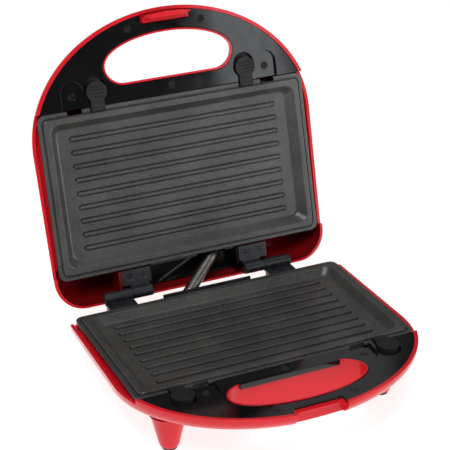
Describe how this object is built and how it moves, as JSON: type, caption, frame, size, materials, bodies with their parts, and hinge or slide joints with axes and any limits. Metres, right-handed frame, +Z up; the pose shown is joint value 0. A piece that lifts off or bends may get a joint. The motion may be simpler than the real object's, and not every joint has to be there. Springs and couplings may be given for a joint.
{
  "type": "panini press",
  "caption": "Tabletop panini press: hinged domed lid and base with ribbed removable grill plates, release tabs, handle openings, snap latch and tapered legs, shown open.",
  "frame": {"origin": "centre of the resting plane under the four feet, below the centre of the base plate", "axes": "+X to the user's right, +Y towards the hinge, +Z up"},
  "size_m": [0.2322, 0.2852, 0.2557],
  "materials": {
    "red_plastic": "glossy red moulded plastic",
    "black_plastic": "glossy black moulded plastic",
    "nonstick_plate": "cast aluminium with a fine-grained dark non-stick coating",
    "black_steel": "black enamelled pressed steel",
    "tray_metal": "bright pressed sheet",
    "element_sheath": "heat-darkened steel sheath",
    "rubber": "matte rubber",
    "matte_black": "matte black plastic",
    "ceramic": "off-white ceramic",
    "wire_sleeve": "glass-fibre and silicone wire sleeve",
    "lens": "clear coloured lens",
    "lamp_glass": "small glass lamp",
    "bright_steel": "bright steel"
  },
  "bodies": {
    "base": {"base_shell": "red_plastic", "base_bezel": "black_plastic", "base_reflector": "tray_metal", "base_element": "element_sheath", "base_element_clips": "bright_steel", "base_rear_guard": "black_steel", "base_spring_left": "bright_steel", "base_spring_right": "bright_steel", "base_hinge_leaf_left": "black_steel", "base_hinge_leaf_right": "black_steel", "hinge_pin_left": "bright_steel", "hinge_pin_right": "bright_steel", "base_hinge_screws": "black_steel", "base_bezel_screws": "bright_steel", "base_reflector_screws": "bright_steel", "foot_pads": "rubber", "cord_gland": "matte_black", "terminal_block": "ceramic", "thermostat": "ceramic", "thermal_fuse": "ceramic", "base_wiring": "wire_sleeve", "wiring_conduit": "bright_steel"},
    "lid": {"lid_shell": "red_plastic", "lid_bezel": "black_plastic", "lid_reflector": "tray_metal", "lid_element": "element_sheath", "lid_element_clips": "bright_steel", "lid_rear_guard": "black_steel", "lid_spring_left": "bright_steel", "lid_spring_right": "bright_steel", "lid_hinge_leaf_left": "black_steel", "lid_hinge_leaf_right": "black_steel", "lid_hinge_screws": "black_steel", "lid_bezel_screws": "bright_steel", "lid_reflector_screws": "bright_steel", "lid_inner_cover": "matte_black", "lamp_lenses": "lens", "neon_lamps": "lamp_glass", "lid_wiring": "wire_sleeve", "latch_pin": "bright_steel"},
    "base_plate": {"base_plate": "nonstick_plate"},
    "base_release_left": {"base_release_left": "black_plastic"},
    "base_release_right": {"base_release_right": "black_plastic"},
    "lid_plate": {"lid_plate": "nonstick_plate"},
    "lid_release_left": {"lid_release_left": "black_plastic"},
    "lid_release_right": {"lid_release_right": "black_plastic"},
    "latch": {"latch": "red_plastic"}
  },
  "joints": [
    {"name": "lid_hinge", "type": "hinge", "parent": "base", "child": "lid", "pos_m": [0, 0.083, 0.0475], "axis": [1, 0, 0], "range_deg": [0, 104.7], "deforming": ["wiring_conduit"]},
    {"name": "base_plate_lift", "type": "slide", "parent": "base", "child": "base_plate", "axis": [0, 0, -1], "range_m": [-0.02, 0]},
    {"name": "lid_plate_lift", "type": "slide", "parent": "lid", "child": "lid_plate", "axis": [0, 0.9673, -0.2538], "range_m": [-0.03, 0]},
    {"name": "latch_swing", "type": "hinge", "parent": "lid", "child": "latch", "pos_m": [0, 0.14336, 0.24763], "axis": [1, 0, 0], "range_deg": [0, 5.5]},
    {"name": "base_release_left_slide", "type": "slide", "parent": "base", "child": "base_release_left", "axis": [0, -1, 0], "range_m": [0, 0.0025], "stiffness_N_per_m": 450, "springref_m": -0.003, "deforming": ["base_spring_left"]},
    {"name": "lid_release_left_slide", "type": "slide", "parent": "lid", "child": "lid_release_left", "axis": [0, 0.2538, 0.9673], "range_m": [0, 0.0025], "stiffness_N_per_m": 450, "springref_m": -0.003, "deforming": ["lid_spring_left"]},
    {"name": "base_release_right_slide", "type": "slide", "parent": "base", "child": "base_release_right", "axis": [0, -1, 0], "range_m": [0, 0.0025], "stiffness_N_per_m": 450, "springref_m": -0.003, "deforming": ["base_spring_right"]},
    {"name": "lid_release_right_slide", "type": "slide", "parent": "lid", "child": "lid_release_right", "axis": [0, 0.2538, 0.9673], "range_m": [0, 0.0025], "stiffness_N_per_m": 450, "springref_m": -0.003, "deforming": ["lid_spring_right"]}
  ]
}
